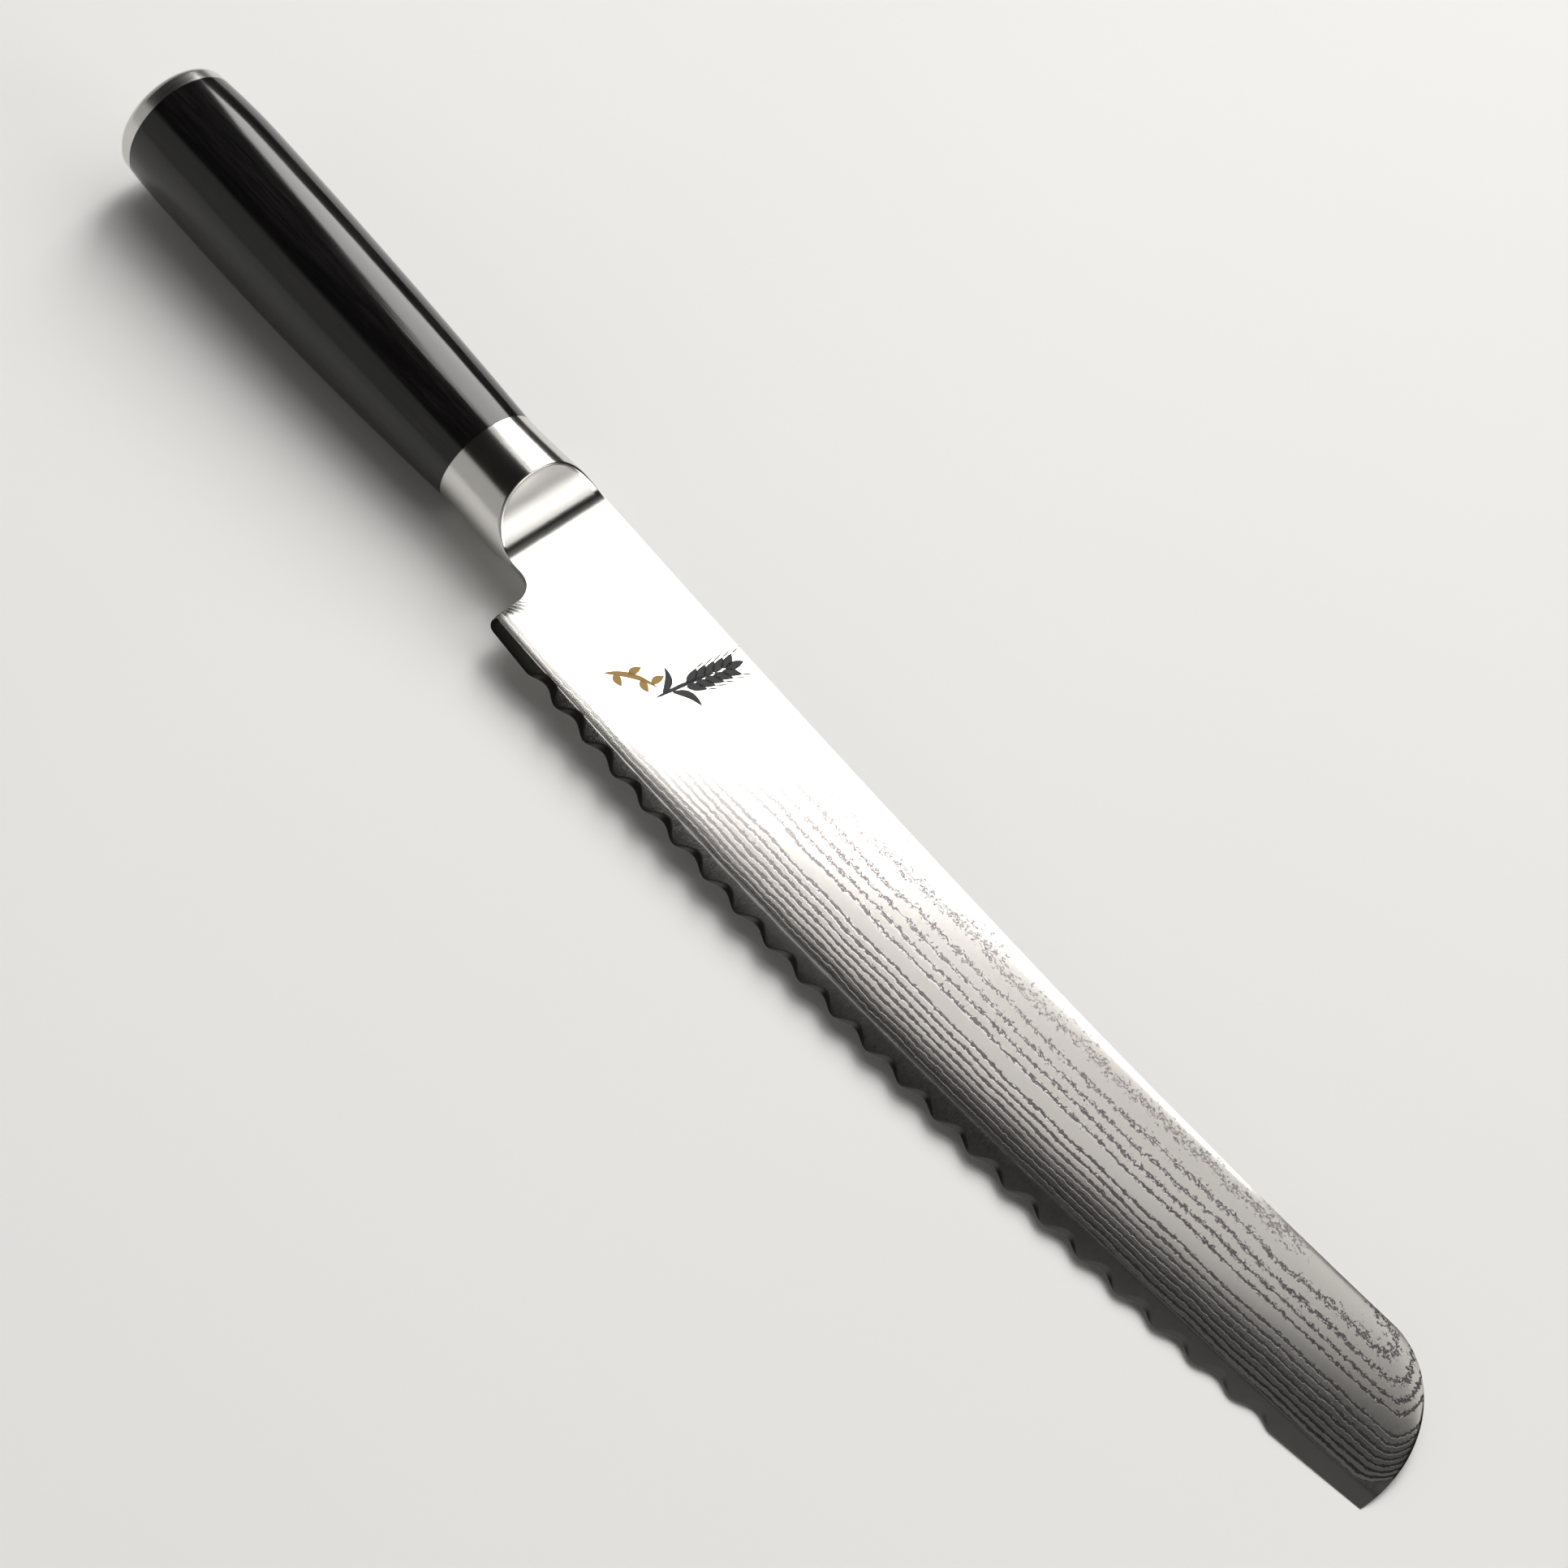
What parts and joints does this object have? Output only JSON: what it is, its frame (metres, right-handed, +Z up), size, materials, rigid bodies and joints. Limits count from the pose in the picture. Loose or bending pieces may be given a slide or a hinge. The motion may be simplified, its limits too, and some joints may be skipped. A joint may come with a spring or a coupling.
{
  "type": "bread_knife",
  "caption": "Serrated bread knife with a layered blade, a scooped steel bolster, a black D-section grip on a hidden tang and a steel end cap.",
  "frame": {"origin": "centre of the bounding box in plan, on the surface that the knife lies on", "axes": "+X from the end cap to the tip, +Y to the spine's side, +Z up from the surface, with the knife lying on its left side"},
  "size_m": [0.3624, 0.0414, 0.0282],
  "materials": {
    "core_steel": "ground",
    "layered_steel": "etched satin",
    "bolster_steel": "polished",
    "tang_steel": "as rolled",
    "cured_adhesive": "matte",
    "black_resin_wood": "polished",
    "cap_steel": "polished"
  },
  "bodies": {
    "root": {"blade_core": "core_steel", "cladding_right": "layered_steel", "cladding_left": "layered_steel", "bolster": "bolster_steel", "tang_bar": "tang_steel", "tang_adhesive": "cured_adhesive", "handle_grip": "black_resin_wood", "end_cap": "cap_steel"}
  },
  "joints": []
}
